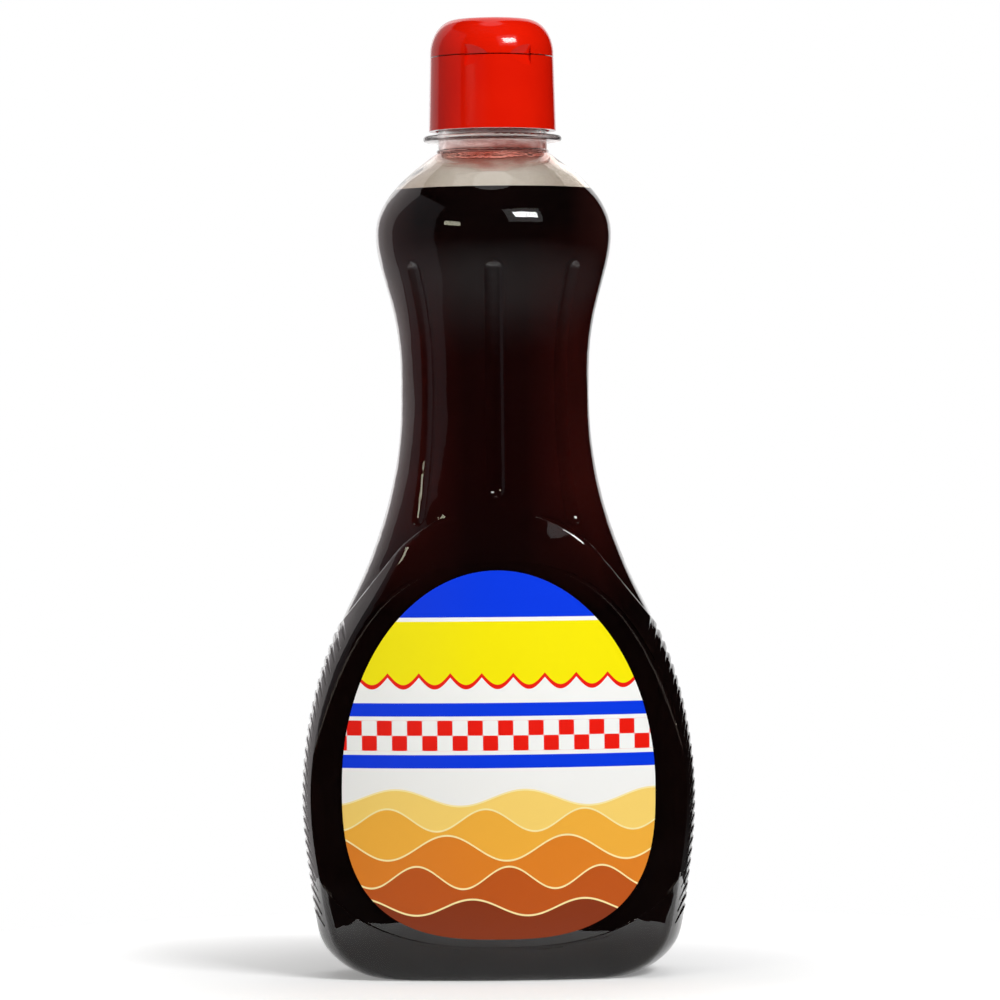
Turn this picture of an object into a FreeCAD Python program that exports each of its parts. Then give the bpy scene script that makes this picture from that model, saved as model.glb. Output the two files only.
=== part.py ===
import FreeCAD, Part
import os
from math import atan2, cos, degrees, hypot, pi, radians, sin, sqrt, tan
from FreeCAD import Vector

os.makedirs("parts", exist_ok=True)

# Table syrup bottle: a clear blow-moulded bottle with a fluted waist and an oval body,
# its syrup, a paper label and a screw-on closure with a flip lid.
# Millimetres. +Z is up, the label faces -Y, and the origin is the centre of the base.

# Oval body
BODY_WIDTH = 108.0        # at its widest
BODY_DEPTH = 57.0         # front to back, over the middle of the label side
WIDEST_HEIGHT = 47.5      # height of the widest point
FOOT_WIDTH = 95.0         # width that the sides would reach at the table, before the heel turns in
HEEL_HEIGHT = 13.0        # height over which the sides turn in to the base
HEEL_WIDTH = 15.0         # how far each side turns in
HEEL_DEPTH = 6.5          # how far the front and the back turn in
HEEL_CORNER = 9.0         # what the corners' radius gains on the way down
BODY_CROWN = 130.0        # height at which the side curves would close
ARCH_HEIGHT = 128.5       # top of the arch where the body meets the waist
ARCH_RADIUS = 36.0
ARCH_SLOPE = 51.0         # degrees, where the arch runs down into the sides
FRONT_RADIUS = 110.0      # plan radius of the front and the back
SIDE_RADIUS = 42.0        # plan radius of each side
CORNER_RADIUS = 4.0
BROW_HEIGHT = 108.0       # above this the front leans back to the waist
BROW_SETBACK = 3.0        # how far it leans back by the top of the arch
ARCH_EASE = 2.0           # rounding of the arch's edge
WALL = 0.9

# Waist and bulb
WAIST_RADIUS = 25.8
WAIST_HEIGHT = 158.0
FLARE_RADIUS = 41.3       # half width where the waist has opened out into the body
FLARE_HEIGHT = 100.0
FLARE_DEPTH = 27.0        # half depth there
BULB_RADIUS = 32.3
BULB_HEIGHT = 203.0
NECK_RADIUS = 14.95
SHOULDER_TOP = 225.6
SHOULDER_LAP = 0.5        # how far the shoulder's curve runs on inside the neck's skin

# Flutes round the waist
FLUTE_COUNT = 8
FLUTE_WIDTH = 4.9
FLUTE_DEPTH = 1.1
FLUTE_TOP = 194.3
FLUTE_GAP = 2.2           # from a flute's lower end to the arch, on the front
FLUTE_SIDE_DROP = 17.0    # how much lower the flutes at the sides run

# Grip ribs on the two sides
RIB_PITCH = 3.15
RIB_DEPTH = 0.5
RIB_RADIUS = 1.3
RIB_TOP = 99.0
RIB_BOTTOM = 19.5
RIB_DROP = 5.0            # how much each rib falls from the middle of the side to its ends
RIB_MARGIN = 1.2          # from a rib's end to the corner of the body

# Label panels, one in front and one behind
PANEL_TOP = 112.3
PANEL_BOTTOM = 9.4
PANEL_WIDTH = 106.0
PANEL_WIDEST = 45.0
PANEL_DEPTH = 0.8

# Base
PUSH_UP = 4.0
PUSH_UP_WIDTH = 58.0
PUSH_UP_DEPTH = 24.0

# Neck finish
NECK_WALL = 2.0
NECK_TOP = 249.6
RING_RADIUS = 18.95
RING_THICKNESS = 1.5
RING_TOP = 229.8
BEAD_REACH = 0.45         # small bead where the neck meets the shoulder

# Syrup
FILL_HEIGHT = 214.0

# Label
LABEL_WIDTH = 85.0
LABEL_TOP = 111.1
LABEL_BOTTOM = 11.6
LABEL_WIDEST = 52.8
LABEL_THICKNESS = 0.15

# Closure: skirt, deck and spout
CAP_FOOT_RADIUS = 17.45
CAP_SEAM_RADIUS = 16.95
CAP_GAP = 1.4             # between the skirt's foot and the neck ring
THREAD_GAP = 0.75         # between the neck and the inside of the skirt
DECK_THICKNESS = 1.6
SEAM_GAP = 0.3
SPOUT_RADIUS = 4.6
SPOUT_BORE = 3.2
SPOUT_RISE = 2.6
SPOUT_FOOT = 0.8          # sloping foot of the spout on the deck
SPOUT_TAPER = 0.4
SPOUT_LIP = 0.3
CAP_TURN = 6.5            # degrees that the closure has stopped round from square

# Flip lid
LID_HEIGHT = 10.6
LID_WALL = 1.5
LID_CORNER = 7.0          # how far in from the side the rounded corner runs
LID_DROP = 9.2            # how far down the side it runs
LID_CROWN = 0.5           # rise of the top over a flat one
PLUG_CLEARANCE = 0.3
PLUG_REACH = 1.5          # how far the plug enters the spout
PLUG_LEAD = 0.5           # chamfer of the plug's tip
NOTCH_WIDTH = 18.1        # thumb notch across the seam
NOTCH_BRIDGE = 6.2        # middle stretch of the seam that the notch leaves closed
NOTCH_HEIGHT = 6.0
NOTCH_DEPTH = 1.5
NOTCH_START = 0.12        # its depth beside the bridge
NOTCH_BACKING = 1.2       # wall left behind the notch at its deepest
NOTCH_BORDER = 1.0        # how far that thicker wall runs on past the notch

# Hinge of the flip lid
HINGE_WIDTH = 9.0
HINGE_REACH = 1.0         # from the closure's wall to the hinge line
HINGE_ROOT = 1.0          # how far the strap's halves run into the walls
HINGE_THICKNESS = 0.8
HINGE_GAP = 0.3

# Worked out from the sizes above
SEAM_HEIGHT = NECK_TOP + DECK_THICKNESS + SEAM_GAP / 2
CAP_FOOT = RING_TOP + CAP_GAP
HALF_WIDTH = BODY_WIDTH / 2
HALF_DEPTH = BODY_DEPTH / 2
FRONT_CENTRE = FRONT_RADIUS - HALF_DEPTH


def superellipse(half_width, half_height, power, count=32):
    """Points round a closed curve that is round at power 2 and squarer above it."""
    points = []
    for i in range(count):
        turn = 2 * pi * i / count
        across = abs(cos(turn)) ** (2 / power)
        along = abs(sin(turn)) ** (2 / power)
        points.append((half_width * across * (1 if cos(turn) >= 0 else -1),
                       half_height * along * (1 if sin(turn) >= 0 else -1)))
    return points


def closed_wire(points):
    curve = Part.BSplineCurve()
    curve.interpolate(points, PeriodicFlag=True)
    return Part.Wire([curve.toShape()])


def egg_wire(half_width, top, widest, bottom, powers, y):
    """Upright egg in the plane at y. powers are those of its height and width above the
    widest point, then the one of its lower half."""
    rise, spread, low = powers
    points = []
    count = 40
    for i in range(count):
        turn = 2 * pi * i / count
        side = 1 if cos(turn) >= 0 else -1
        if sin(turn) >= 0:
            x = side * half_width * abs(cos(turn)) ** (2 / spread)
            z = widest + (top - widest) * sin(turn) ** (2 / rise)
        else:
            x = side * half_width * abs(cos(turn)) ** (2 / low)
            z = widest - (widest - bottom) * abs(sin(turn)) ** (2 / low)
        points.append(Vector(x, y, z))
    return closed_wire(points)


# ---------------------------------------------------------------- waist and bulb

def flared(z):
    """0 at the waist, 1 where the flare reaches the body and below that."""
    return (WAIST_HEIGHT - min(WAIST_HEIGHT, max(z, FLARE_HEIGHT))) / (WAIST_HEIGHT - FLARE_HEIGHT)


def column_half_width(z):
    """Half width of the waist and bulb: flare below the waist, bulb and shoulder above."""
    if z < WAIST_HEIGHT:
        hidden = max(0.0, FLARE_HEIGHT - z)
        return WAIST_RADIUS + (FLARE_RADIUS - WAIST_RADIUS) * flared(z) ** 2 + hidden / 3
    if z < BULB_HEIGHT:
        climbed = (z - WAIST_HEIGHT) / (BULB_HEIGHT - WAIST_HEIGHT)
        swell = (1 - cos(pi * climbed ** 1.55)) / 2
        return WAIST_RADIUS + (BULB_RADIUS - WAIST_RADIUS) * swell
    closed = (z - BULB_HEIGHT) / (SHOULDER_TOP - BULB_HEIGHT)
    return BULB_RADIUS - (BULB_RADIUS - NECK_RADIUS + SHOULDER_LAP) * closed ** 2


def column_half_depth(z):
    """The waist hardly deepens on its way down to the body."""
    if z > WAIST_HEIGHT:
        return column_half_width(z)
    return WAIST_RADIUS + (FLARE_DEPTH - WAIST_RADIUS) * flared(z)


def column_power(z):
    """Round at the waist, squarer towards the body."""
    return 2 + 0.8 * flared(z) ** 2


def column(inset):
    """Waist, bulb and shoulder as one solid, its skin moved inwards by inset."""
    foot = FLARE_HEIGHT - 8
    levels = [foot + (WAIST_HEIGHT - foot) * i / 8 for i in range(8)]
    levels += [WAIST_HEIGHT + (BULB_HEIGHT - WAIST_HEIGHT) * i / 7 for i in range(7)]
    levels += [BULB_HEIGHT + (SHOULDER_TOP - BULB_HEIGHT) * i / 8 for i in range(9)]
    sections = []
    step = 0.05
    for z in levels:
        slope = (column_half_width(z + step) - column_half_width(z - step)) / (2 * step)
        half_width = column_half_width(z) - inset * hypot(1, slope)
        half_depth = column_half_depth(z) - inset if z < WAIST_HEIGHT else half_width
        flat = superellipse(half_width, half_depth, column_power(z), 24)
        sections.append(closed_wire([Vector(x, y, z) for x, y in flat]))
    return Part.makeLoft(sections, True)


def column_reach(angle, z):
    """Distance from the axis to the column's skin at an angle round it."""
    a = column_half_width(z)
    b = column_half_depth(z)
    n = column_power(z)
    return (abs(cos(angle) / a) ** n + abs(sin(angle) / b) ** n) ** (-1 / n)


def bent_bar(points, radius, outwards):
    """Round bar along a smooth line, with its seam on the side that outwards points to."""
    path = Part.BSplineCurve()
    path.interpolate(points)
    start = path.tangent(path.FirstParameter)[0]
    profile = Part.Wire([Part.Circle(points[0], start, radius).toShape()])
    seam = profile.Vertexes[0].Point - points[0]
    side = start.cross(outwards)
    turn = degrees(atan2(seam.dot(side), seam.dot(outwards)))
    profile.rotate(points[0], start, -turn)
    return Part.Wire([path.toShape()]).makePipeShell([profile], True, False)


def flutes(inset):
    """Grooves round the waist, each a round bar bent along the skin, with round ends."""
    depth = FLUTE_DEPTH
    half = FLUTE_WIDTH / 2
    bar = (half ** 2 + depth ** 2) / (2 * depth)
    bars = []
    for i in range(FLUTE_COUNT):
        angle = 2 * pi * i / FLUTE_COUNT + pi / 2
        low = ARCH_HEIGHT + FLUTE_GAP - FLUTE_SIDE_DROP * abs(cos(angle)) ** 2.5
        low += half
        high = FLUTE_TOP - half
        points = []
        steps = 8
        for k in range(steps + 1):
            z = low + (high - low) * k / steps
            reach = column_reach(angle, z) + bar - depth
            points.append(Vector(reach * cos(angle), reach * sin(angle), z))
        outwards = Vector(cos(angle), sin(angle), 0)
        groove = bent_bar(points, bar + inset, outwards)
        ends = [Part.makeSphere(bar + inset, points[0]), Part.makeSphere(bar + inset, points[-1])]
        bars.append(groove.fuse(ends))
    return bars


# ---------------------------------------------------------------- oval body

def body_half_width(z):
    if z < WIDEST_HEIGHT:
        lowered = (WIDEST_HEIGHT - z) / WIDEST_HEIGHT
        return HALF_WIDTH - (HALF_WIDTH - FOOT_WIDTH / 2) * lowered ** 1.5
    rise = BODY_CROWN - WIDEST_HEIGHT
    turning = min(z, FLARE_HEIGHT - 3) - WIDEST_HEIGHT
    width = HALF_WIDTH * sqrt(1 - (turning / rise) ** 2)
    lean = HALF_WIDTH * turning / rise ** 2 / sqrt(1 - (turning / rise) ** 2)
    return width - lean * max(0.0, z - FLARE_HEIGHT + 3)


def body_half_depth(z):
    lean = max(0.0, z - BROW_HEIGHT) / (ARCH_HEIGHT - BROW_HEIGHT)
    return HALF_DEPTH - BROW_SETBACK * lean ** 1.5


def circles_meet(x1, y1, r1, x2, y2, r2):
    """Meeting point, with x above and y below zero, of two circles."""
    gap = hypot(x2 - x1, y2 - y1)
    along = (gap ** 2 + r1 ** 2 - r2 ** 2) / (2 * gap)
    out = sqrt(r1 ** 2 - along ** 2)
    ux = (x2 - x1) / gap
    uy = (y2 - y1) / gap
    points = [(x1 + along * ux + s * out * uy, y1 + along * uy - s * out * ux) for s in (1, -1)]
    return max(points)


def plan_wire(z, inset, tuck=0.0):
    """Oval section of the body: front and back arcs, side arcs and rounded corners.
    tuck says how far it has turned in at the heel, from 0 to 1 on the table."""
    front = FRONT_RADIUS - inset
    side = SIDE_RADIUS - inset
    corner = max(CORNER_RADIUS - inset, 0.6) + tuck * HEEL_CORNER
    front_y = FRONT_RADIUS - body_half_depth(z) + tuck * (HEEL_DEPTH - inset)
    side_x = body_half_width(z) - SIDE_RADIUS - tuck * (HEEL_WIDTH - inset)
    cx, cy = circles_meet(0, front_y, front - corner, side_x, 0, side - corner)
    to_front = atan2(cy - front_y, cx)
    to_side = atan2(cy, cx - side_x)
    middle = (to_front + to_side) / 2
    a = (front * cos(to_front), front_y + front * sin(to_front))
    b = (cx + corner * cos(middle), cy + corner * sin(middle))
    c = (side_x + side * cos(to_side), side * sin(to_side))
    nose = (0, front_y - front)
    flank = (side_x + side, 0)

    def at(point, sx=1, sy=1):
        return Vector(point[0] * sx, point[1] * sy, z)

    arcs = [(at(a, -1), at(nose), at(a)),
            (at(a), at(b), at(c)),
            (at(c), at(flank), at(c, 1, -1)),
            (at(c, 1, -1), at(b, 1, -1), at(a, 1, -1)),
            (at(a, 1, -1), at(nose, 1, -1), at(a, -1, -1)),
            (at(a, -1, -1), at(b, -1, -1), at(c, -1, -1)),
            (at(c, -1, -1), at(flank, -1), at(c, -1)),
            (at(c, -1), at(b, -1), at(a, -1))]
    return Part.Wire([Part.Arc(*arc).toShape() for arc in arcs])


def arch_prism(inset):
    """Everything below the arch: a round top running down into two straight slopes."""
    radius = ARCH_RADIUS - inset
    centre = ARCH_HEIGHT - ARCH_RADIUS
    lean = radians(ARCH_SLOPE)
    x = radius * sin(lean)
    z = centre + radius * cos(lean)
    floor = -10.0
    out = x + (z - floor) / tan(lean)
    far = BODY_DEPTH
    top = Part.Arc(Vector(-x, -far, z), Vector(0, -far, centre + radius), Vector(x, -far, z))
    rest = Part.makePolygon([Vector(x, -far, z), Vector(out, -far, floor),
                             Vector(-out, -far, floor), Vector(-x, -far, z)])
    outline = Part.Wire([top.toShape()] + rest.Edges)
    return Part.Face(outline).extrude(Vector(0, 2 * far, 0))


def on_arch(point, inset):
    """Whether a point lies on the wall that follows the arch."""
    lean = radians(ARCH_SLOPE)
    x = abs(point.x)
    z = point.z - ARCH_HEIGHT + ARCH_RADIUS
    if atan2(x, z) <= lean:
        reach = hypot(x, z)
    else:
        reach = x * sin(lean) + z * cos(lean)
    return abs(reach - ARCH_RADIUS + inset) < 0.02


def oval_body(inset):
    """The oval body up to the arch, its skin moved inwards by inset."""
    heel = HEEL_HEIGHT - inset
    sections = []
    turns = 6
    for i in range(turns):
        angle = pi / 2 * i / turns
        sections.append(plan_wire(inset + heel * (1 - cos(angle)), inset, 1 - sin(angle)))
    top = ARCH_HEIGHT + 3
    levels = 12
    for i in range(levels + 1):
        sections.append(plan_wire(HEEL_HEIGHT + (top - HEEL_HEIGHT) * i / levels, inset))
    block = Part.makeLoft(sections, True)
    body = block.common(arch_prism(inset))
    rims = []
    for edge in body.Edges:
        first, last = edge.ParameterRange
        points = [edge.valueAt(first + (last - first) * k / 4) for k in range(5)]
        if all(on_arch(point, inset) and abs(point.y) > HALF_DEPTH * 0.4 for point in points):
            rims.append(edge)
    return body.makeFillet(max(ARCH_EASE - inset, 0.5), rims)


def panel_cuts(inset):
    """What the two label panels take off the front and the back."""
    radius = FRONT_RADIUS - PANEL_DEPTH - inset
    cuts = []
    for side in (-1, 1):
        egg = egg_wire(PANEL_WIDTH / 2 + inset, PANEL_TOP + inset, PANEL_WIDEST,
                       PANEL_BOTTOM - inset, (1.4, 2.85, 2.5), side * HALF_DEPTH / 3)
        block = Part.Face(egg).extrude(Vector(0, side * HALF_DEPTH, 0))
        core = Part.makeCylinder(radius, 2 * ARCH_HEIGHT,
                                 Vector(0, -side * FRONT_CENTRE, -ARCH_HEIGHT / 2))
        cuts.append(block.cut(core))
    return cuts


def body_form(inset):
    """Waist, bulb and body together, with flutes and label panels."""
    fluted = column(inset).cut(flutes(inset))
    return fluted.fuse(oval_body(inset)).cut(panel_cuts(inset))


def rib_cuts():
    """Fine grip grooves on both sides, each arched like a rainbow on the side's skin."""
    count = int(round((RIB_TOP - RIB_BOTTOM) / RIB_PITCH))
    cuts = []
    for i in range(count + 1):
        z = RIB_BOTTOM + RIB_PITCH * i
        low = z - RIB_DROP
        side_x = body_half_width(low) - SIDE_RADIUS
        front_y = FRONT_RADIUS - body_half_depth(low)
        edge = circles_meet(0, front_y, FRONT_RADIUS, side_x, 0, SIDE_RADIUS)
        y = -edge[1] - CORNER_RADIUS / 2 - RIB_MARGIN
        end_x = side_x + sqrt(SIDE_RADIUS ** 2 - y ** 2) + RIB_RADIUS
        mid_x = body_half_width(z) + RIB_RADIUS - RIB_DEPTH
        for side in (-1, 1):
            arc = Part.Arc(Vector(side * end_x, -y, low), Vector(side * mid_x, 0, z),
                           Vector(side * end_x, y, low))
            start = arc.tangent(arc.FirstParameter)[0]
            ring = Part.Circle(Vector(side * end_x, -y, low), start, RIB_RADIUS)
            disc = Part.Face(Part.Wire([ring.toShape()]))
            cuts.append(Part.Wire([arc.toShape()]).makePipe(disc))
    return cuts


def push_up(inset):
    """Shallow dome pushed up into the base, with a small flat where the blank was gated."""
    sections = []
    turns = 6
    for i in range(turns):
        angle = pi / 2 * i / turns
        flat = superellipse((PUSH_UP_WIDTH / 2 + inset) * cos(angle),
                            (PUSH_UP_DEPTH / 2 + inset) * cos(angle), 2, 24)
        z = (PUSH_UP + inset) * sin(angle) / sin(pi / 2 * (turns - 1) / turns)
        sections.append(closed_wire([Vector(x, y, z) for x, y in flat]))
    return Part.makeLoft(sections, True)


# ---------------------------------------------------------------- neck

def neck():
    """Neck with its ring and bead, down into the shoulder."""
    root = SHOULDER_TOP - 3
    tube = Part.makeCylinder(NECK_RADIUS, NECK_TOP - root, Vector(0, 0, root))
    ring = Part.makeCylinder(RING_RADIUS, RING_THICKNESS, Vector(0, 0, RING_TOP - RING_THICKNESS))
    ring = ring.makeFillet(RING_THICKNESS * 0.4, [ring.Edges[0], ring.Edges[2]])
    collar = Part.makeTorus(NECK_RADIUS, BEAD_REACH, Vector(0, 0, SHOULDER_TOP))
    return tube.fuse([ring, collar])


def bore():
    radius = NECK_RADIUS - NECK_WALL
    root = SHOULDER_TOP - 4
    return Part.makeCylinder(radius, NECK_TOP - root + 1, Vector(0, 0, root))


# ---------------------------------------------------------------- pieces

def make_cavity():
    """The room inside the bottle, up to the mouth."""
    room = body_form(WALL).cut(push_up(WALL))
    return room.fuse(bore())


def make_bottle(cavity):
    outer = body_form(0.0).cut(rib_cuts() + [push_up(0.0)])
    return outer.fuse(neck()).cut(cavity)


def make_syrup(cavity):
    """What the bottle holds, level with the bulb."""
    size = 2 * BODY_WIDTH
    below = Part.makeBox(size, size, FILL_HEIGHT + 5, Vector(-size / 2, -size / 2, -5))
    return cavity.common(below)


def make_label():
    """Paper label on the front panel, curved with it."""
    egg = egg_wire(LABEL_WIDTH / 2, LABEL_TOP, LABEL_WIDEST, LABEL_BOTTOM, (2, 2, 2.8),
                   -HALF_DEPTH / 3)
    block = Part.Face(egg).extrude(Vector(0, -HALF_DEPTH, 0))
    bed = FRONT_RADIUS - PANEL_DEPTH
    centre = Vector(0, FRONT_CENTRE, -ARCH_HEIGHT / 2)
    face = Part.makeCylinder(bed + LABEL_THICKNESS, 2 * ARCH_HEIGHT, centre)
    return block.common(face.cut(Part.makeCylinder(bed, 2 * ARCH_HEIGHT, centre)))


def turned(shape):
    """A piece of the closure, turned to where it has stopped on the neck."""
    shape.rotate(Vector(0, 0, 0), Vector(0, 0, 1), CAP_TURN)
    return shape


def revolve(points):
    face = Part.Face(Part.makePolygon(points + [points[0]]))
    return face.revolve(Vector(0, 0, 0), Vector(0, 0, 1), 360)


def vee(x, front, deep, half):
    """Upright triangle at x: deep into the wall from front, half above and below the seam."""
    return Part.makePolygon([Vector(x, -front, SEAM_HEIGHT - half),
                             Vector(x, -front + deep, SEAM_HEIGHT),
                             Vector(x, -front, SEAM_HEIGHT + half),
                             Vector(x, -front, SEAM_HEIGHT - half)])


def notch():
    """Thumb notch across the seam: two V pockets that deepen outwards from the middle."""
    flare = NOTCH_HEIGHT / 2 / NOTCH_DEPTH
    clear = 4.0
    bridge = sqrt(CAP_SEAM_RADIUS ** 2 - (NOTCH_BRIDGE / 2) ** 2)
    wall = sqrt(CAP_SEAM_RADIUS ** 2 - (NOTCH_WIDTH / 2) ** 2)
    shallow = clear + NOTCH_START
    deep = clear + NOTCH_DEPTH
    pockets = []
    for side in (-1, 1):
        near = vee(side * NOTCH_BRIDGE / 2, bridge + clear, shallow, shallow * flare)
        far = vee(side * NOTCH_WIDTH / 2, wall + clear, deep, deep * flare)
        pockets.append(Part.makeLoft([near, far], True, True))
    return pockets


def hinge_lug(up):
    """Half of the hinge strap behind the closure, above or below the seam."""
    length = HINGE_ROOT + HINGE_REACH - HINGE_GAP / 2
    low = SEAM_HEIGHT + (SEAM_GAP / 2 if up else -SEAM_GAP / 2 - HINGE_THICKNESS)
    return Part.makeBox(HINGE_WIDTH, length, HINGE_THICKNESS,
                        Vector(-HINGE_WIDTH / 2, CAP_SEAM_RADIUS - HINGE_ROOT, low))


def make_closure():
    """Threaded base of the closure: skirt, deck and pouring spout."""
    inside = NECK_RADIUS + THREAD_GAP
    deck = SEAM_HEIGHT - SEAM_GAP / 2
    under = deck - DECK_THICKNESS
    shell = revolve([Vector(SPOUT_BORE, 0, under), Vector(inside, 0, under),
                     Vector(inside, 0, CAP_FOOT), Vector(CAP_FOOT_RADIUS, 0, CAP_FOOT),
                     Vector(CAP_SEAM_RADIUS, 0, deck), Vector(SPOUT_RADIUS + SPOUT_FOOT, 0, deck),
                     Vector(SPOUT_RADIUS, 0, deck + SPOUT_FOOT),
                     Vector(SPOUT_RADIUS - SPOUT_TAPER, 0, deck + SPOUT_RISE),
                     Vector(SPOUT_BORE + SPOUT_LIP, 0, deck + SPOUT_RISE),
                     Vector(SPOUT_BORE, 0, deck + SPOUT_RISE - SPOUT_LIP)])
    return turned(shell.cut(notch()).fuse(hinge_lug(False)))


def lid_form(inset):
    """Domed lid from the seam up, its skin moved inwards by inset."""
    low = SEAM_HEIGHT + SEAM_GAP / 2
    top = SEAM_HEIGHT + LID_HEIGHT - inset
    radius = CAP_SEAM_RADIUS - inset
    corner = LID_CORNER - inset / 2
    drop = LID_DROP - inset
    points = []
    turns = 8
    for i in range(turns + 1):
        angle = pi / 2 * i / turns
        r = radius - corner * (1 - cos(angle))
        z = top - LID_CROWN * (r / radius) ** 2 - drop * (1 - sin(angle))
        points.append(Vector(r, 0, z))
    for part in (0.6, 0.3, 0):
        r = (radius - corner) * part
        points.append(Vector(r, 0, top - LID_CROWN * (r / radius) ** 2))
    dome = Part.BSplineCurve()
    dome.interpolate(Points=points, InitialTangent=Vector(0, 0, 1), FinalTangent=Vector(-1, 0, 0))
    rest = Part.makePolygon([points[0], Vector(radius, 0, low), Vector(0, 0, low), points[-1]])
    outline = Part.Wire([dome.toShape()] + rest.Edges)
    return Part.Face(outline).revolve(Vector(0, 0, 0), Vector(0, 0, 1), 360)


def make_lid():
    """Flip lid: domed shell with a plug for the spout and a thicker front at the notch."""
    outer = lid_form(0.0)
    low = SEAM_HEIGHT + SEAM_GAP / 2
    shell = outer.cut(lid_form(LID_WALL))
    back = sqrt(CAP_SEAM_RADIUS ** 2 - (NOTCH_WIDTH / 2) ** 2) - NOTCH_DEPTH - NOTCH_BACKING
    pad = Part.makeBox(NOTCH_WIDTH + 2 * NOTCH_BORDER, CAP_SEAM_RADIUS,
                       NOTCH_HEIGHT / 2 + NOTCH_BORDER,
                       Vector(-NOTCH_WIDTH / 2 - NOTCH_BORDER, -CAP_SEAM_RADIUS - back, low))
    plug_foot = SEAM_HEIGHT - SEAM_GAP / 2 + SPOUT_RISE - PLUG_REACH
    plug_top = SEAM_HEIGHT + LID_HEIGHT - LID_WALL / 2
    plug = Part.makeCylinder(SPOUT_BORE - PLUG_CLEARANCE, plug_top - plug_foot,
                             Vector(0, 0, plug_foot))
    tip = [edge for edge in plug.Edges if edge.BoundBox.ZMax < plug_foot + 0.01]
    plug = plug.makeChamfer(PLUG_LEAD, tip)
    lid = shell.fuse([outer.common(pad), plug]).cut(notch())
    return turned(lid.fuse(hinge_lug(True)))


def save(name, shape):
    solid = shape.removeSplitter()
    solids = solid.Solids
    print(name, "solids", len(solids), "valid", solid.isValid(),
          "volume cm3", round(solid.Volume / 1000, 2))
    solids[0].exportStep(os.path.join("parts", name + ".step"))
    return solids[0]


cavity = make_cavity()
save("bottle", make_bottle(cavity))
save("syrup", make_syrup(cavity))
save("label", make_label())
save("closure", make_closure())
save("lid", make_lid())
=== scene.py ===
from math import cos, pi, radians, sin

import bpy
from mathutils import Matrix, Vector


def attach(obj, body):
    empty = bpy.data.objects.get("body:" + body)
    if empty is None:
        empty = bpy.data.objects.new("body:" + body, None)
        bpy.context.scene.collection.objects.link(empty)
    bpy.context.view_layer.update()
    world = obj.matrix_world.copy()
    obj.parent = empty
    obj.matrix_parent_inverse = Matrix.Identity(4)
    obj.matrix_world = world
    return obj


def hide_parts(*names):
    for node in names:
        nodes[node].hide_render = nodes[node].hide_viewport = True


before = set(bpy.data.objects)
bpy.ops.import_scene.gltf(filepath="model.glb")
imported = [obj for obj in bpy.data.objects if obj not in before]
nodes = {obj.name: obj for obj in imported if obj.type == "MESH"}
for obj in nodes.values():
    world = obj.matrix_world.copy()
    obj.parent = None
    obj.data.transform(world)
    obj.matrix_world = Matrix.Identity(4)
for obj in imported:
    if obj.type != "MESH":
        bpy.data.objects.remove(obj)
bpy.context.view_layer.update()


# ---- Bottle
# Stretch-blown PET, clear with a faint warm cast where syrup has filmed it, which is partly
# painted shade and deepens towards the sides. The wall is smooth and glossy, with the slow ripple
# of a blown wall and the mould's parting line on both sides.

def colour(red, green, blue):
    """Scene-linear colour from 0-255 display values."""
    linear = []
    for value in (red, green, blue):
        part = value / 255
        linear.append(part / 12.92 if part <= 0.04045 else ((part + 0.055) / 1.055) ** 2.4)
    return (*linear, 1.0)


def new_material(name):
    """Empty material; returns it with its tree and its Principled BSDF."""
    material = bpy.data.materials.new(name)
    material.use_nodes = True
    tree = material.node_tree
    return material, tree, tree.nodes["Principled BSDF"]


def add_node(tree, kind, **settings):
    """Shader node with its settings and, by name or number, its input values."""
    node = tree.nodes.new(kind)
    for key, value in settings.items():
        if key == "inputs":
            for name, setting in value.items():
                node.inputs[name].default_value = setting
        else:
            setattr(node, key, value)
    return node


# Noise on Object coordinates, a node group that every material with a grain places.
speckle = bpy.data.node_groups.new("object_noise", "ShaderNodeTree")
for name, kind in (("Scale", "Float"), ("Detail", "Float"), ("Stretch", "Vector")):
    speckle.interface.new_socket(name, in_out="INPUT", socket_type="NodeSocket" + kind)
speckle.interface.new_socket("Height", in_out="OUTPUT", socket_type="NodeSocketFloat")
given = add_node(speckle, "NodeGroupInput")
result = add_node(speckle, "NodeGroupOutput")
coordinates = add_node(speckle, "ShaderNodeTexCoord")
mapping = add_node(speckle, "ShaderNodeMapping")
noise = add_node(speckle, "ShaderNodeTexNoise")
speckle.links.new(coordinates.outputs["Object"], mapping.inputs["Vector"])
speckle.links.new(given.outputs["Stretch"], mapping.inputs["Scale"])
speckle.links.new(mapping.outputs["Vector"], noise.inputs["Vector"])
speckle.links.new(given.outputs["Scale"], noise.inputs["Scale"])
speckle.links.new(given.outputs["Detail"], noise.inputs["Detail"])
speckle.links.new(noise.outputs["Fac"], result.inputs["Height"])


def object_noise(tree, scale, detail=2.0, stretch=(1, 1, 1)):
    """The noise group placed in a material, scale in features per metre."""
    placed = add_node(tree, "ShaderNodeGroup", node_tree=speckle,
                      inputs={"Scale": scale, "Detail": detail, "Stretch": stretch})
    return placed.outputs["Height"]


def bump(tree, shader, height, distance, strength=1.0):
    """Bump of a height from 0 to 1, distance in metres, into the shader's normal."""
    node = add_node(tree, "ShaderNodeBump", inputs={"Strength": strength, "Distance": distance})
    tree.links.new(height, node.inputs["Height"])
    tree.links.new(node.outputs["Normal"], shader.inputs["Normal"])


def dress(piece, material):
    """The material in every slot of the piece."""
    for entry in piece.material_slots:
        entry.material = material
    if not piece.material_slots:
        piece.data.materials.append(material)


def maths(operation, *values, clamp=False):
    """Math node, in the tree in hand, on sockets and numbers; returns its output."""
    node = add_node(tree, "ShaderNodeMath", operation=operation, use_clamp=clamp)
    for i, value in enumerate(values):
        if isinstance(value, (int, float)):
            node.inputs[i].default_value = value
        else:
            tree.links.new(value, node.inputs[i])
    return node.outputs[0]


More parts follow.
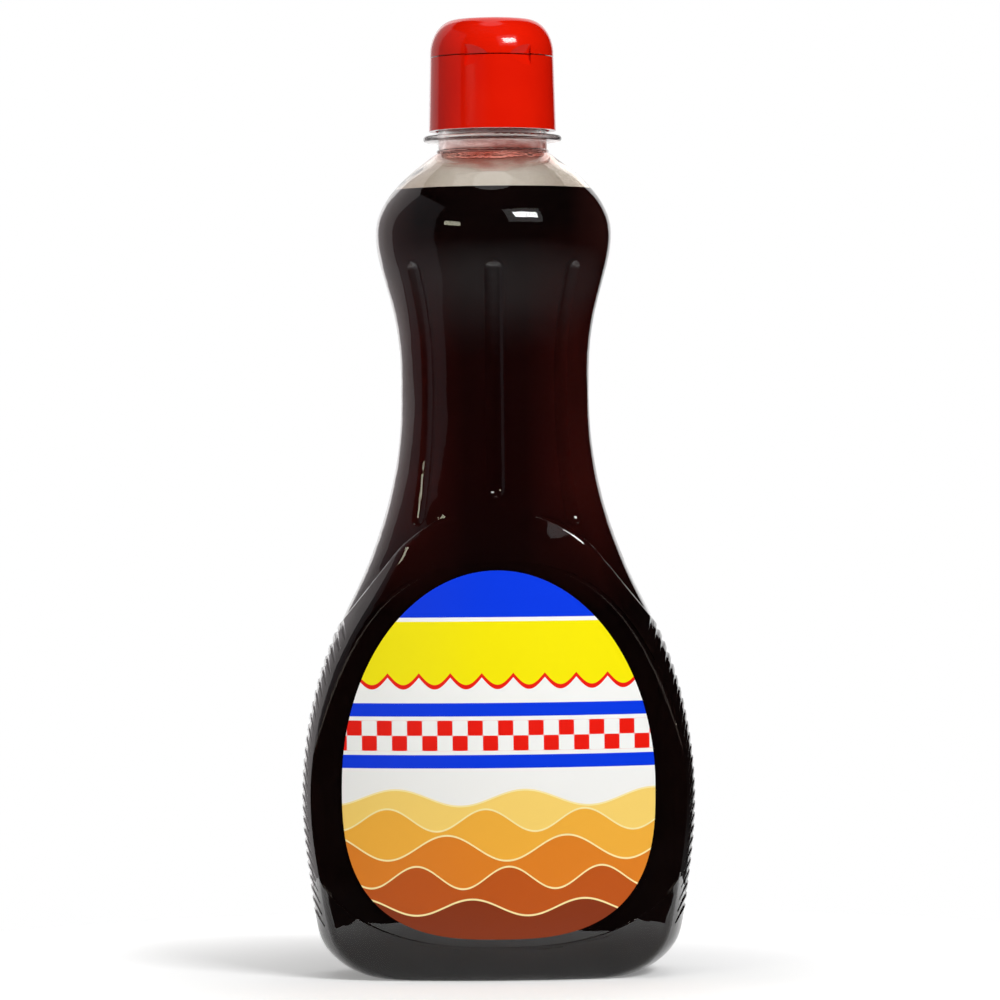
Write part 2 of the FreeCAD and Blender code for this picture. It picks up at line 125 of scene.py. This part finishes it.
def ramp(value, low, high):
    """0 to 1 as the value goes from low to high."""
    return maths("DIVIDE", maths("SUBTRACT", value, low), high - low, clamp=True)


def between_heights(low, soft_low, soft_high, high):
    """1 from soft_low to soft_high, falling to 0 at low and high."""
    falling = maths("SUBTRACT", 1.0, ramp(Z, soft_high, high))
    return maths("MULTIPLY", ramp(Z, low, soft_low), falling)


def paint(under, over, mask):
    """Colour over, where the mask is 1, on the colour under."""
    node = add_node(tree, "ShaderNodeMix", data_type="RGBA")
    tree.links.new(mask, node.inputs["Factor"])
    for socket, value in ((node.inputs[6], under), (node.inputs[7], over)):
        if isinstance(value, tuple):
            socket.default_value = value
        else:
            tree.links.new(value, socket)
    return node.outputs[2]


def object_axes():
    """Object X, Y and Z of the tree in hand."""
    coordinates = add_node(tree, "ShaderNodeTexCoord")
    axes = add_node(tree, "ShaderNodeSeparateXYZ")
    tree.links.new(coordinates.outputs["Object"], axes.inputs["Vector"])
    return axes.outputs["X"], axes.outputs["Y"], axes.outputs["Z"]


PET_CLEAR = (0.90, 0.885, 0.87, 1)
PET_FILM_AND_SHADE = (0.75, 0.705, 0.645, 1)     # the headspace: a film of syrup on its inside and painted shade for the dim light seen through it
# painted shade: the tint deepens towards the headspace's sides
PET_FILM_SHADED_SIDES = (0.60, 0.53, 0.46, 1)
PET_STAINED = (0.42, 0.12, 0.09, 1)      # the foot of the neck, where syrup has dried
NECK_FOOT = 0.2256
PET_IOR = 1.47
GLOSS = 0.02             # roughness of the smooth wall
NECK_HAZE = 0.16         # what the neck's roughness is over that
PARTING_CORE = 0.00010   # half widths of the mould's parting line
PARTING_EDGE = 0.00025
WALL_RIPPLE = 0.0005     # height of the blown wall's ripple

pet, tree, shader = new_material("clear_pet")
X, Y, Z = object_axes()
# the warm tint is partly a film of syrup and partly painted shade, deeper towards the sides
film_and_shade = paint(PET_FILM_AND_SHADE, PET_FILM_SHADED_SIDES, ramp(maths("ABSOLUTE", X), 0.010, 0.026))
film_and_shade = paint(film_and_shade, PET_CLEAR, ramp(Z, NECK_FOOT - 0.001, NECK_FOOT + 0.0015))
blotches = ramp(object_noise(tree, 120, 3.0, (1, 1, 2.2)), 0.42, 0.62)
stain = maths("MULTIPLY", between_heights(NECK_FOOT - 0.0044, NECK_FOOT - 0.0018,
                                          NECK_FOOT + 0.0022, NECK_FOOT + 0.0042),
              maths("MULTIPLY_ADD", blotches, 0.45, 0.5))
dried = maths("MULTIPLY", between_heights(NECK_FOOT - 0.0014, NECK_FOOT - 0.0007,
                                           NECK_FOOT + 0.0001, NECK_FOOT + 0.0008), 0.6)
stain = maths("MULTIPLY", stain, maths("MULTIPLY_ADD", ramp(X, -0.014, -0.004), 0.6, 0.4))
film_and_shade = paint(film_and_shade, PET_STAINED, stain)
tree.links.new(paint(film_and_shade, PET_STAINED, dried), shader.inputs["Base Color"])
haze = maths("MULTIPLY", ramp(Z, NECK_FOOT, NECK_FOOT + 0.0015), NECK_HAZE)
tree.links.new(maths("ADD", haze, GLOSS), shader.inputs["Roughness"])
shader.inputs["IOR"].default_value = PET_IOR
shader.inputs["Transmission Weight"].default_value = 1.0
seam = maths("SUBTRACT", 1.0, ramp(maths("ABSOLUTE", Y), PARTING_CORE, PARTING_EDGE))
height = maths("MULTIPLY_ADD", seam, 0.14, object_noise(tree, 45, 1.0))
bump(tree, shader, height, WALL_RIPPLE)
dress(nodes["bottle"], pet)


# ---- Syrup
# Dark brown pancake syrup, too deep to see through. Its colour carries painted light: a red glow
# at the waist, strongest at its narrow sides, as of light shining through, and lighter sides on
# the body and the bulb. It wets the bottle's wall all over and creeps a little way up it at the
# surface.

WETTING = 0.00018        # how far the fill reaches into the bottle's wall
MENISCUS = 0.0007        # how far the surface's rim creeps up the wall
RIM_DEPTH = 0.0002       # how far below the surface the rim starts
LEVEL = 0.00001          # how far from the surface a face still counts as part of it
WELD = 0.000001
SMOOTH_BELOW = radians(35)

source = nodes["syrup"]
fill = bpy.data.objects.new("syrup_fill", source.data.copy())
bpy.context.scene.collection.objects.link(fill)
surface = max(v.co.z for v in fill.data.vertices)


def alone(piece):
    """Only this piece selected and active."""
    if bpy.context.object and bpy.context.object.mode != "OBJECT":
        bpy.ops.object.mode_set(mode="OBJECT")
    bpy.ops.object.select_all(action="DESELECT")
    piece.select_set(True)
    bpy.context.view_layer.objects.active = piece


alone(fill)
bpy.ops.mesh.customdata_custom_splitnormals_clear()
bpy.ops.object.mode_set(mode="EDIT")
bpy.ops.mesh.select_all(action="SELECT")
bpy.ops.mesh.remove_doubles(threshold=WELD)
bpy.ops.object.mode_set(mode="OBJECT")
wall = [Vector() for v in fill.data.vertices]      # outward direction of the wall at each
top_faces = []
for face in fill.data.polygons:
    if face.center.z > surface - LEVEL:
        top_faces.append(face.index)
    else:
        for corner in face.vertices:
            wall[corner] += face.normal * face.area
for vertex, outward in zip(fill.data.vertices, wall):
    if outward.length == 0:
        continue
    outward.normalize()
    vertex.co += outward * WETTING
    if vertex.co.z > surface - RIM_DEPTH:
        level = Vector((outward.x, outward.y, 0))
        up_the_wall = Vector((-level.x * outward.z, -level.y * outward.z,
                              level.length_squared)).normalized()
        vertex.co += up_the_wall * MENISCUS
bpy.ops.object.shade_smooth_by_angle(angle=SMOOTH_BELOW)

# Against the wall it has no gloss of its own: only the bottle's outer face shines.
DEEP = colour(14, 8, 8)
# painted light: the waist is redder, and redder still at its narrow sides, a glow as of light
# shining through
WAIST_GLOW = colour(27, 6, 6)
WAIST_SIDE_GLOW = colour(72, 26, 23)
# painted light: the sides of the body and of the bulb are lighter
BODY_SIDE_LIGHT = colour(25, 15, 14)
BULB_SIDE_GLOW = colour(58, 30, 29)
CLOUDS = colour(30, 12, 11)
SURFACE = colour(36, 12, 7)
FOAM = colour(84, 36, 18)

dark, tree, shader = new_material("dark_syrup")
X, Y, Z = object_axes()
side = maths("ABSOLUTE", X)
# masks of the painted glow at the waist and at its sides
waist = between_heights(0.100, 0.135, 0.175, 0.205)
thin_glow = maths("MULTIPLY", waist, ramp(side, 0.008, 0.027))
depth = paint(DEEP, WAIST_GLOW, waist)
depth = paint(depth, WAIST_SIDE_GLOW, maths("MULTIPLY", thin_glow, 0.85))
# painted light on the sides of the body and of the bulb
depth = paint(depth, BODY_SIDE_LIGHT, maths("MULTIPLY", ramp(side, 0.030, 0.054), 0.8))
bulb = maths("MULTIPLY", ramp(Z, 0.180, 0.200), ramp(side, 0.020, 0.031))
depth = paint(depth, BULB_SIDE_GLOW, bulb)
cloud = maths("MULTIPLY", ramp(object_noise(tree, 30, 2.0), 0.35, 0.75), 0.3)
depth = paint(depth, CLOUDS, cloud)
tree.links.new(depth, shader.inputs["Base Color"])
shader.inputs["Roughness"].default_value = 0.6
shader.inputs["Specular IOR Level"].default_value = 0.0
dress(fill, dark)

surface_syrup, tree, shader = new_material("syrup_surface")
foam = ramp(object_noise(tree, 260, 3.0), 0.62, 0.75)
tree.links.new(paint(SURFACE, FOAM, foam), shader.inputs["Base Color"])
shader.inputs["Roughness"].default_value = 0.05
shader.inputs["IOR"].default_value = 1.49
bump(tree, shader, object_noise(tree, 90, 1.0), 0.0002)
fill.data.materials.append(surface_syrup)
for index in top_faces:
    fill.data.polygons[index].material_index = len(fill.data.materials) - 1
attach(fill, "bottle")
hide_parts("syrup")


# ---- Label
# Varnished paper, stuck on the front panel before filling. The print is bands from edge to edge:
# a blue top, a yellow awning edged in red, a red chequer between blue bars, and amber hills.

YELLOW = colour(248, 233, 0)
WHITE = colour(246, 246, 244)
BLUE = colour(0, 56, 228)
RED = colour(236, 24, 8)
CREAM = colour(255, 236, 170)

label, tree, shader = new_material("printed_label")
X, Y, Z = object_axes()


def inside(distance, soft=0.00008):
    """1 where a distance in metres is below zero, with a soft printed edge."""
    return maths("MULTIPLY_ADD", distance, -1 / soft, 0.5, clamp=True)


def between(value, low, high):
    """Distance from a strip between low and high."""
    return maths("SUBTRACT", maths("ABSOLUTE", maths("SUBTRACT", value, (low + high) / 2)),
                 (high - low) / 2)


def both(first, second):
    return maths("MAXIMUM", first, second)


# awning: its lower edge hangs in scallops, with a red line along it
AWNING_FOOT = 0.0835
SCALLOP_PITCH = 0.0085
SCALLOP_DROP = 0.0032
RED_LINE = 0.0012
scallop = maths("ABSOLUTE", maths("COSINE", maths("MULTIPLY", X, pi / SCALLOP_PITCH)))
hem = maths("MULTIPLY_ADD", scallop, -SCALLOP_DROP, AWNING_FOOT)
print_colour = paint(WHITE, RED, inside(maths("SUBTRACT", maths("SUBTRACT", hem, Z), RED_LINE)))
print_colour = paint(print_colour, YELLOW, inside(maths("SUBTRACT", hem, Z)))

# top, parted from the awning by a white line
TOP_FOOT = 0.0985
WHITE_LINE = 0.0011
print_colour = paint(print_colour, WHITE,
                     inside(maths("SUBTRACT", TOP_FOOT - WHITE_LINE, Z)))
print_colour = paint(print_colour, BLUE, inside(maths("SUBTRACT", TOP_FOOT, Z)))

# chequer of two rows between blue bars
SQUARE = 0.0041
CHEQUER_FOOT = 0.0625
CHEQUER_TOP = CHEQUER_FOOT + 2 * SQUARE
BAR = 0.0036
BAR_GAP = 0.0011
across = maths("SINE", maths("MULTIPLY", X, pi / SQUARE))
along = maths("SINE", maths("MULTIPLY", maths("SUBTRACT", Z, CHEQUER_FOOT), pi / SQUARE))
square = maths("MULTIPLY", maths("MULTIPLY", across, along), SQUARE / pi)
print_colour = paint(print_colour, RED,
                     inside(both(square, between(Z, CHEQUER_FOOT, CHEQUER_TOP))))
for low in (CHEQUER_FOOT - BAR_GAP - BAR, CHEQUER_TOP + BAR_GAP):
    print_colour = paint(print_colour, BLUE, inside(between(Z, low, low + BAR)))

# amber hills down to the label's foot, each with a pale crest
CREST_LINE = 0.0005
HILLS = ((0.0500, 0.0022, 180, 0.3, colour(252, 214, 112)),      # height, swell, turns, phase
         (0.0440, 0.0030, 236, 2.4, colour(245, 178, 62)),
         (0.0365, 0.0034, 194, 4.3, colour(226, 130, 36)),
         (0.0285, 0.0030, 252, 0.9, colour(190, 86, 24)),
         (0.0205, 0.0022, 208, 3.1, colour(134, 52, 18)))
for height, swell, turns, phase, tone in HILLS:
    crest = maths("MULTIPLY_ADD", maths("SINE", maths("MULTIPLY_ADD", X, turns, phase)),
                  swell, height)
    over = maths("SUBTRACT", Z, crest)
    print_colour = paint(print_colour, CREAM, inside(over))
    print_colour = paint(print_colour, tone, inside(maths("ADD", over, CREST_LINE)))

tree.links.new(print_colour, shader.inputs["Base Color"])
shader.inputs["Roughness"].default_value = 0.34
shader.inputs["Specular IOR Level"].default_value = 0.18
shader.inputs["Coat Weight"].default_value = 0.08
shader.inputs["Coat Roughness"].default_value = 0.1
bump(tree, shader, object_noise(tree, 1800, 3.0), 0.00002, 0.5)
dress(nodes["label"], label)


# ---- Closure and flip lid
# Injection-moulded red polypropylene, bright and slightly soft in its gloss. The skirt screws
# on to the neck and the lid snaps shut over the spout.

RED_DEEP = colour(216, 18, 3)
RED_BRIGHT = colour(232, 30, 5)


def red_plastic(name):
    """Red polypropylene with a faint mottle and a fine grain."""
    material, tree, shader = new_material(name)
    patches = object_noise(tree, 60, 2.0)
    tone = add_node(tree, "ShaderNodeMix", data_type="RGBA")
    tone.inputs[6].default_value = RED_DEEP
    tone.inputs[7].default_value = RED_BRIGHT
    tree.links.new(patches, tone.inputs["Factor"])
    tree.links.new(tone.outputs[2], shader.inputs["Base Color"])
    shader.inputs["Roughness"].default_value = 0.10
    shader.inputs["IOR"].default_value = 1.49
    shader.inputs["Specular IOR Level"].default_value = 0.4
    bump(tree, shader, object_noise(tree, 900, 3.0), 0.00003, 0.4)
    return material


dress(nodes["closure"], red_plastic("red_skirt"))
dress(nodes["lid"], red_plastic("red_lid"))


# ---- Table
# A round white table top, which fades into the white background and keeps the shadow.

# Node group with 1 for the rays that show the background: camera, mirror and see-through ones.
shown = bpy.data.node_groups.new("background_rays", "ShaderNodeTree")
shown.interface.new_socket("Mask", in_out="OUTPUT", socket_type="NodeSocketFloat")
path = add_node(shown, "ShaderNodeLightPath")
mask = path.outputs["Is Camera Ray"]
for kind in ("Is Glossy Ray", "Is Transmission Ray"):
    total = add_node(shown, "ShaderNodeMath", operation="ADD", use_clamp=True)
    shown.links.new(mask, total.inputs[0])
    shown.links.new(path.outputs[kind], total.inputs[1])
    mask = total.outputs[0]
shown.links.new(mask, add_node(shown, "NodeGroupOutput").inputs["Mask"])

TABLE_RADIUS = 0.21
FADE_START = 0.06        # distance from the middle at which the table begins to fade
FADE_END = TABLE_RADIUS - 0.005
MIDDLE_GLOW = 0.24
RIM_GLOW = 0.96
bpy.ops.mesh.primitive_circle_add(vertices=96, radius=TABLE_RADIUS, fill_type="NGON")
floor = bpy.context.object
floor.name = "floor"
white, tree, shader = new_material("white_table")
shader.inputs["Base Color"].default_value = (0.8, 0.8, 0.8, 1)
shader.inputs["Roughness"].default_value = 0.9
shader.inputs["Specular IOR Level"].default_value = 0.0
coordinates = add_node(tree, "ShaderNodeTexCoord")
reach = add_node(tree, "ShaderNodeVectorMath", operation="LENGTH")
tree.links.new(coordinates.outputs["Object"], reach.inputs[0])
rim = maths("POWER", ramp(reach.outputs["Value"], FADE_START, FADE_END), 1.5)
seen = add_node(tree, "ShaderNodeGroup", node_tree=shown).outputs["Mask"]
glow = maths("MULTIPLY", seen, maths("MULTIPLY_ADD", rim, RIM_GLOW - MIDDLE_GLOW, MIDDLE_GLOW))
shader.inputs["Emission Color"].default_value = (1, 1, 1, 1)
tree.links.new(glow, shader.inputs["Emission Strength"])
dress(floor, white)


# ---- Black flags
# Black velvet hung in front and at both sides, as for any dark glossy bottle. It is open behind
# and below, where the bottle mirrors the white background, and glows more brightly down to the
# floor, a painted light that only reflections see.

FLAG_RADIUS = 3.0
FLAG_FOOT = -3.0
FLAG_HEIGHT = 17.0
OPENING = radians(24)    # each way from straight behind
LIGHT_BELOW = -0.1       # the flags begin to grow lighter here
FOOT_GLOW = 0.95

bpy.ops.mesh.primitive_cylinder_add(vertices=60, radius=FLAG_RADIUS, depth=FLAG_HEIGHT,
                                    end_fill_type="NOTHING",
                                    location=(0, 0, FLAG_FOOT + FLAG_HEIGHT / 2))
flags = bpy.context.object
flags.name = "black_flags"
bpy.ops.object.mode_set(mode="EDIT")
bpy.ops.mesh.select_all(action="DESELECT")
bpy.ops.object.mode_set(mode="OBJECT")
for face in flags.data.polygons:
    face.select = face.center.y > FLAG_RADIUS * cos(OPENING)
bpy.ops.object.mode_set(mode="EDIT")
bpy.ops.mesh.delete(type="ONLY_FACE")
bpy.ops.object.mode_set(mode="OBJECT")
bpy.ops.object.transform_apply(location=True)
velvet, tree, shader = new_material("black_velvet")
X, Y, Z = object_axes()
shader.inputs["Base Color"].default_value = (0.01, 0.01, 0.01, 1)
shader.inputs["Roughness"].default_value = 1.0
shader.inputs["Specular IOR Level"].default_value = 0.0
shader.inputs["Emission Color"].default_value = (1, 1, 1, 1)
# painted light: the velvet glows, more brightly towards the floor
spill = maths("POWER", maths("SUBTRACT", 1.0, ramp(Z, FLAG_FOOT, LIGHT_BELOW)), 1.3)
tree.links.new(maths("MULTIPLY", spill, FOOT_GLOW), shader.inputs["Emission Strength"])
dress(flags, velvet)
for ray in ("camera", "diffuse", "transmission", "shadow", "volume_scatter"):
    setattr(flags, "visible_" + ray, False)


# ---- Light
# A long key light high on the right in its soft halo, a window-like light on the left, two
# broad dim screens to the left of the bottle, soft light from the front, behind and overhead.

TARGET = Vector((0, 0, 0.14))
ROOM = 0.06              # dim light from all round, for the object itself


def area_light(name, azimuth, elevation, distance, size, power, tint=(1, 1, 1), mirrored=True):
    """Rectangular light aimed at the middle of the bottle. Azimuth is from the front, right +."""
    turn, rise = radians(azimuth), radians(elevation)
    way = Vector((sin(turn) * cos(rise), -cos(turn) * cos(rise), sin(rise)))
    data = bpy.data.lights.new(name, "AREA")
    data.shape = "RECTANGLE"
    data.size, data.size_y = size
    data.energy = power
    data.color = tint
    lamp = bpy.data.objects.new(name, data)
    bpy.context.scene.collection.objects.link(lamp)
    lamp.location = TARGET + way * distance
    lamp.rotation_euler = (-way).to_track_quat("-Z", "Y").to_euler()
    lamp.visible_camera = False
    lamp.visible_glossy = mirrored


area_light("key", 36, 33, 1.8, (0.7, 0.34), 21)
area_light("key_halo", 33, 32, 1.9, (1.15, 0.85), 2.5)
area_light("window", -40, 16, 1.6, (0.45, 0.18), 2.0, (1.0, 0.97, 0.75))
area_light("screen_left", -88, 2, 1.2, (1.3, 2.6), 2.0, (0.97, 0.94, 1.0))
area_light("screen_back_left", -142, 2, 1.3, (1.2, 2.6), 5.6, (1.0, 0.94, 0.95))
area_light("fill", -30, 2, 1.8, (1.2, 0.8), 3, mirrored=False)
area_light("low_fill", 10, -24, 1.6, (0.6, 0.4), 5, mirrored=False)
area_light("overhead", -10, 75, 1.6, (1.4, 1.4), 8, mirrored=False)
area_light("back_fill", 165, 30, 1.8, (1.4, 1.0), 10, mirrored=False)

world = bpy.data.worlds.new("studio")
bpy.context.scene.world = world
world.use_nodes = True
tree = world.node_tree
dim = tree.nodes["Background"]
dim.inputs["Color"].default_value = (1, 1, 1, 1)
dim.inputs["Strength"].default_value = ROOM
bright = add_node(tree, "ShaderNodeBackground", inputs={"Color": (1, 1, 1, 1), "Strength": 1.0})
mix = add_node(tree, "ShaderNodeMixShader")
tree.links.new(add_node(tree, "ShaderNodeGroup", node_tree=shown).outputs["Mask"],
               mix.inputs["Fac"])
tree.links.new(dim.outputs["Background"], mix.inputs[1])
tree.links.new(bright.outputs["Background"], mix.inputs[2])
tree.links.new(mix.outputs["Shader"], tree.nodes["World Output"].inputs["Surface"])


# ---- Camera
# Level with the middle of the bottle and a little over a metre away, with a long lens.

lens = bpy.data.cameras.new("camera")
lens.sensor_width = 36.0
lens.lens = 193.0
lens.shift_y = -0.032
camera = bpy.data.objects.new("camera", lens)
bpy.context.scene.collection.objects.link(camera)
camera.location = (0.0012, -1.4727, 0.1387)
camera.rotation_euler = (pi / 2, radians(0.55), 0)
bpy.context.scene.camera = camera
bpy.context.scene.view_settings.view_transform = "Standard"
